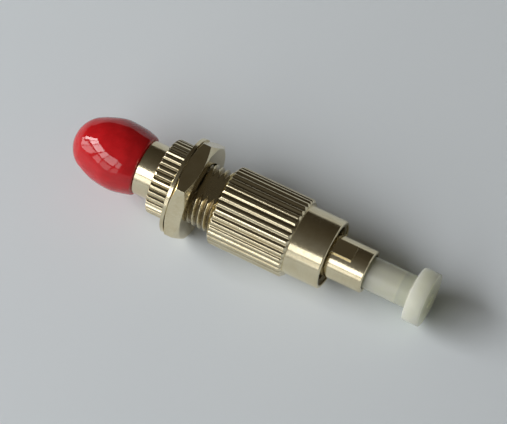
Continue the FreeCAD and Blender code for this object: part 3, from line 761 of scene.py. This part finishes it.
FINISHES = {
    "panel_washer": nickel_turned,
    "hex_nut": nickel_hex,
    "plug_frame": nickel_turned,
    "retaining_ring": spring_steel,
    "spring_tube": stainless,
    "ferrule_collar": stainless,
    "sma_stub_ferrule": stainless,
    "fc_ferrule": ceramic,
}
for node_name, finish in FINISHES.items():
    node = nodes[node_name]
    node.data.materials.clear()
    node.data.materials.append(finish)


def fit(piece, material, node_name, body):
    """Dress a new piece, hide the CAD node it stands for, and let it ride."""
    piece.data.materials.append(material)
    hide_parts(node_name)
    if body:
        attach(piece, body)


fit(build_body(), nickel_knurled, "bulkhead_body", "adapter")
fit(build_coupling_nut(), nickel_knurled, "coupling_nut", "coupling")
fit(build_red_cap(), red_vinyl(), "sma_dust_cap", "sma_cap")
fit(build_white_cap(), white_polyethylene(), "ferrule_dust_cap", "ferrule_cap")
spring = build_spring()
fit(spring, spring_steel, "ferrule_spring", "adapter")
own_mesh(spring)
fibre = build_fibre()
fit(fibre, fibre_glass(), "optical_fibre", None)
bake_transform(fibre)

# Floor: the plane that swings up about the washer's rim until it meets the grip's front edge or the
# white head. Its raised rim is the backdrop.
FLOOR_GAP = 0.01
near_x, near_z = WASHER_HIGH[0], WASHER_LOW[2]
GRIP_EDGE = (NUT_LOW[0] + GRIP_LENGTH - GRIP_CHAMFER, -GRIP_RADIUS)
HEAD_EDGE = (WHITE_HIGH[0] - WHITE_EDGE, WHITE_LOW[2])
slope = min((z - near_z) / (x - near_x) for x, z in (GRIP_EDGE, HEAD_EDGE))
FLOOR_HALF, FLOOR_RIM = 1500.0, 250.0
corners = []
for half, lift in ((FLOOR_HALF, 0.0), (FLOOR_HALF + FLOOR_RIM, FLOOR_RIM)):
    for x, y in ((-half, -half), (half, -half), (half, half), (-half, half)):
        corners.append((x, y, near_z - FLOOR_GAP + slope * (x - near_x) + lift))
sides = [(side, 4 + side, 4 + (side + 1) % 4, (side + 1) % 4) for side in range(4)]
floor = make_mesh("paper_floor", corners, [(0, 1, 2, 3)] + sides)
floor.data.materials.append(paper())

# Window: two rows of panes in a wall on the near left side, as the red cap mirrors them. A row has its
# bottom, its top and its share of the columns' radiance.
WALL_DISTANCE = 420.0
WALL_AZIMUTH = math.radians(42.0)
PANE_WIDTH, PANE_GAP = 120.0, 20.0
LEFT_PANE = -400.0
COLUMN_RADIANCE = (10.4, 9.5, 6.7, 4.8, 3.4, 2.5)
ROWS = ((45.0, 195.0, 0.45), (235.0, 500.0, 1.0))
outward = Vector((-math.sin(WALL_AZIMUTH), -math.cos(WALL_AZIMUTH), 0))
along = Vector((math.cos(WALL_AZIMUTH), -math.sin(WALL_AZIMUTH), 0))
upright = Vector((0, 0, 1))
for row, (low, high, share) in enumerate(ROWS):
    for column, radiance in enumerate(COLUMN_RADIANCE):
        station = LEFT_PANE + column * (PANE_WIDTH + PANE_GAP)
        pane = bpy.data.lights.new(f"pane_{row}_{column}", "AREA")
        pane.shape = "RECTANGLE"
        pane.size, pane.size_y = PANE_WIDTH * MM, (high - low) * MM
        pane.energy = radiance * share * math.pi * pane.size * pane.size_y
        lamp = bpy.data.objects.new(pane.name, pane)
        spot = WALL_DISTANCE * outward + station * along + (low + high) / 2 * upright
        facing = Matrix((along, upright, outward)).transposed().to_4x4()
        lamp.matrix_world = Matrix.Translation(spot * MM) @ facing
        bpy.context.scene.collection.objects.link(lamp)

# Room: a ramp along Y, paler on the window's side, dark and warm on the far side.
ROOM = ((-1.0, (0.17, 0.17, 0.165)), (-0.5, (0.14, 0.135, 0.125)), (0.0, (0.085, 0.077, 0.062)),
        (0.4, (0.060, 0.052, 0.038)), (1.0, (0.035, 0.029, 0.020)))
world = bpy.data.worlds.new("room")
bpy.context.scene.world = world
world.use_nodes = True
tree = world.node_tree
tree.nodes.clear()
out = tree.nodes.new("ShaderNodeOutputWorld")
shade = tree.nodes.new("ShaderNodeBackground")
tree.links.new(shade.outputs[0], out.inputs["Surface"])
way = tree.nodes.new("ShaderNodeTexCoord")
split = tree.nodes.new("ShaderNodeSeparateXYZ")
tree.links.new(way.outputs["Generated"], split.inputs[0])
span = tree.nodes.new("ShaderNodeMapRange")
tree.links.new(split.outputs["Y"], span.inputs[0])
for socket, number in zip(list(span.inputs)[1:5], (-1.0, 1.0, 0.0, 1.0)):
    socket.default_value = number
ramp = tree.nodes.new("ShaderNodeValToRGB")
tree.links.new(span.outputs[0], ramp.inputs["Fac"])
stops = ramp.color_ramp.elements
while len(stops) < len(ROOM):
    stops.new(0.5)
for stop, (place, colour) in zip(stops, ROOM):
    stop.position = (place + 1) / 2
    stop.color = (*colour, 1.0)
tree.links.new(ramp.outputs["Color"], shade.inputs["Color"])

# Camera: the photograph's angle, worked out from the drawn axis and the picture's scale.
AZIMUTH, ELEVATION = math.radians(27.6), math.radians(64.0)
CAMERA_DISTANCE = 424.0
LENS, SENSOR = 248.4, 36.0
NEAREST, FARTHEST = 0.02, 10.0
AIM_STATION, AIM_RIGHT, AIM_UP = 5.65, 3.467, -0.921
right = Vector((math.cos(AZIMUTH), math.sin(AZIMUTH), 0))
up = Vector((
    -math.sin(AZIMUTH) * math.sin(ELEVATION), math.cos(AZIMUTH) * math.sin(ELEVATION), math.cos(ELEVATION)))
back = right.cross(up)
aim = Vector((AIM_STATION, 0, 0)) + AIM_RIGHT * right + AIM_UP * up
camera_data = bpy.data.cameras.new("camera")
camera_data.lens = LENS
camera_data.sensor_width = SENSOR
camera_data.clip_start, camera_data.clip_end = NEAREST, FARTHEST
camera = bpy.data.objects.new("camera", camera_data)
turned_to_aim = Matrix((right, up, back)).transposed().to_4x4()
camera.matrix_world = Matrix.Translation((aim + back * CAMERA_DISTANCE) * MM) @ turned_to_aim
bpy.context.scene.collection.objects.link(camera)
bpy.context.scene.camera = camera
bpy.context.scene.view_settings.view_transform = "Standard"

bpy.context.view_layer.update()
